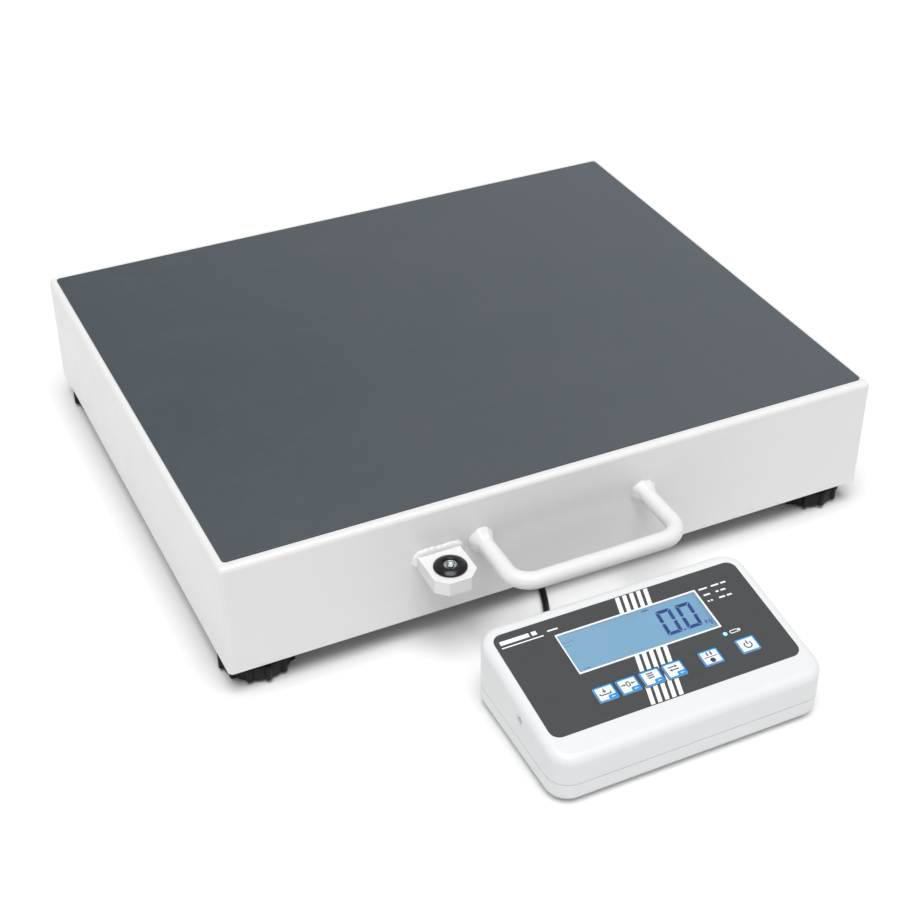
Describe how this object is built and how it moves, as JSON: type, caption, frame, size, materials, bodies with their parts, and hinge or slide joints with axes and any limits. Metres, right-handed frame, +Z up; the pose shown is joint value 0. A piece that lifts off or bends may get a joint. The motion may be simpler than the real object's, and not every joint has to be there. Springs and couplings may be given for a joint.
{
  "type": "platform scale",
  "caption": "Low floor platform scale with a rubber-topped steel deck, levelling feet, a carry handle, a bubble level and a remote display unit on a cable.",
  "frame": {"origin": "on the floor, at the middle of the overall length and width of platform and display together", "axes": "+Z up, +Y from the display unit towards the platform's back edge, +X to the right seen from the display side"},
  "size_m": [0.5, 0.593, 0.108],
  "materials": {
    "white_paint": "semi-gloss powder coat",
    "grey_mat": "matt fine-grained rubber",
    "grey_primer": "matt primer",
    "cell_aluminium": "milled and anodised",
    "zinc_steel": "zinc plated",
    "black_plastic": "moulded, fine texture",
    "black_rubber": "matt rubber",
    "level_black": "glossy",
    "clear_acrylic": "clear",
    "level_bubble": "clear air bubble",
    "box_grey": "moulded",
    "board_green": "solder mask",
    "lead_grey": "sheathed lead",
    "clip_white": "nylon",
    "cable_black": "sheathed cable",
    "tie_black": "hook and loop strap",
    "case_white": "fine-textured moulding",
    "overlay_grey": "printed film",
    "key_white": "printed film key",
    "silicone_grey": "silicone",
    "lcd_blue": "lit display",
    "led_blue": "diffused lens",
    "tray_black": "moulded",
    "battery_skin": "printed sleeve"
  },
  "bodies": {
    "platform": {"deck_shell": "white_paint", "deck_mat": "grey_mat", "deck_channel_left": "grey_primer", "deck_channel_middle": "grey_primer", "deck_channel_right": "grey_primer", "load_cell_fl": "cell_aluminium", "load_cell_fr": "cell_aluminium", "load_cell_bl": "cell_aluminium", "load_cell_br": "cell_aluminium", "load_cell_spacers": "zinc_steel", "load_cell_screws": "zinc_steel", "carry_handle": "white_paint", "weld_beads": "white_paint", "level_bracket": "white_paint", "level_housing": "level_black", "level_vial": "clear_acrylic", "level_bubble": "level_bubble", "junction_box": "box_grey", "junction_box_lid": "box_grey", "junction_box_screws": "zinc_steel", "junction_board": "board_green", "junction_gland": "black_plastic", "load_cell_leads": "lead_grey", "lead_clips": "clip_white", "link_cable": "cable_black", "link_cable_coil": "cable_black", "coil_tie": "tie_black"},
    "display": {"display_top_shell": "case_white", "display_bottom_shell": "case_white", "front_overlay": "overlay_grey", "key_dome_sheet": "silicone_grey", "lcd_window": "clear_acrylic", "lcd_module": "lcd_blue", "main_board": "board_green", "status_led": "led_blue", "battery_holder": "tray_black", "battery_cells": "battery_skin", "power_socket": "black_plastic", "case_screws": "zinc_steel", "case_feet": "black_rubber", "display_strain_relief": "black_rubber"},
    "battery_cover": {"battery_cover": "case_white"},
    "key_tare": {"key_tare": "key_white"},
    "key_zero": {"key_zero": "key_white"},
    "key_function": {"key_function": "key_white"},
    "key_mode": {"key_mode": "key_white"},
    "key_hold": {"key_hold": "key_white"},
    "key_power": {"key_power": "key_white"},
    "pad_fl": {"foot_pad_fl": "black_rubber"},
    "knob_fl": {"foot_knob_fl": "black_plastic", "foot_stud_fl": "zinc_steel"},
    "pad_fr": {"foot_pad_fr": "black_rubber"},
    "knob_fr": {"foot_knob_fr": "black_plastic", "foot_stud_fr": "zinc_steel"},
    "pad_bl": {"foot_pad_bl": "black_rubber"},
    "knob_bl": {"foot_knob_bl": "black_plastic", "foot_stud_bl": "zinc_steel"},
    "pad_br": {"foot_pad_br": "black_rubber"},
    "knob_br": {"foot_knob_br": "black_plastic", "foot_stud_br": "zinc_steel"}
  },
  "joints": [
    {"name": "display_lift", "type": "slide", "parent": "platform", "child": "display", "axis": [0, 0, 1], "range_m": [0, 0.04]},
    {"name": "key_tare_press", "type": "slide", "parent": "display", "child": "key_tare", "axis": [0, 0.1478, -0.989], "range_m": [0, 0.0004], "stiffness_N_per_m": 2500, "springref_m": -0.0002},
    {"name": "key_zero_press", "type": "slide", "parent": "display", "child": "key_zero", "axis": [0, 0.1478, -0.989], "range_m": [0, 0.0004], "stiffness_N_per_m": 2500, "springref_m": -0.0002},
    {"name": "key_function_press", "type": "slide", "parent": "display", "child": "key_function", "axis": [0, 0.1478, -0.989], "range_m": [0, 0.0004], "stiffness_N_per_m": 2500, "springref_m": -0.0002},
    {"name": "key_mode_press", "type": "slide", "parent": "display", "child": "key_mode", "axis": [0, 0.1478, -0.989], "range_m": [0, 0.0004], "stiffness_N_per_m": 2500, "springref_m": -0.0002},
    {"name": "key_hold_press", "type": "slide", "parent": "display", "child": "key_hold", "axis": [0, 0.1478, -0.989], "range_m": [0, 0.0004], "stiffness_N_per_m": 2500, "springref_m": -0.0002},
    {"name": "key_power_press", "type": "slide", "parent": "display", "child": "key_power", "axis": [0, 0.1478, -0.989], "range_m": [0, 0.0004], "stiffness_N_per_m": 2500, "springref_m": -0.0002},
    {"name": "battery_cover_slide", "type": "slide", "parent": "display", "child": "battery_cover", "axis": [0, 1, 0], "range_m": [0, 0.055]},
    {"name": "foot_height_fl", "type": "slide", "parent": "platform", "child": "pad_fl", "axis": [0, 0, -1], "range_m": [0, 0.0076]},
    {"name": "knob_turn_fl", "type": "hinge", "parent": "pad_fl", "child": "knob_fl", "pos_m": [-0.2225, -0.086, 0.008], "axis": [0, 0, -1], "range_deg": [0, 1800]},
    {"name": "foot_height_fr", "type": "slide", "parent": "platform", "child": "pad_fr", "axis": [0, 0, -1], "range_m": [0, 0.0076]},
    {"name": "knob_turn_fr", "type": "hinge", "parent": "pad_fr", "child": "knob_fr", "pos_m": [0.2225, -0.086, 0.008], "axis": [0, 0, -1], "range_deg": [0, 1800]},
    {"name": "foot_height_bl", "type": "slide", "parent": "platform", "child": "pad_bl", "axis": [0, 0, -1], "range_m": [0, 0.0076]},
    {"name": "knob_turn_bl", "type": "hinge", "parent": "pad_bl", "child": "knob_bl", "pos_m": [-0.2225, 0.269, 0.008], "axis": [0, 0, -1], "range_deg": [0, 1800]},
    {"name": "foot_height_br", "type": "slide", "parent": "platform", "child": "pad_br", "axis": [0, 0, -1], "range_m": [0, 0.0076]},
    {"name": "knob_turn_br", "type": "hinge", "parent": "pad_br", "child": "knob_br", "pos_m": [0.2225, 0.269, 0.008], "axis": [0, 0, -1], "range_deg": [0, 1800]}
  ],
  "couplings": [
    {"joint": "foot_height_fl", "follows": "knob_turn_fl", "m_per_rad": 0.00023873},
    {"joint": "foot_height_fr", "follows": "knob_turn_fr", "m_per_rad": 0.00023873},
    {"joint": "foot_height_bl", "follows": "knob_turn_bl", "m_per_rad": 0.00023873},
    {"joint": "foot_height_br", "follows": "knob_turn_br", "m_per_rad": 0.00023873}
  ]
}
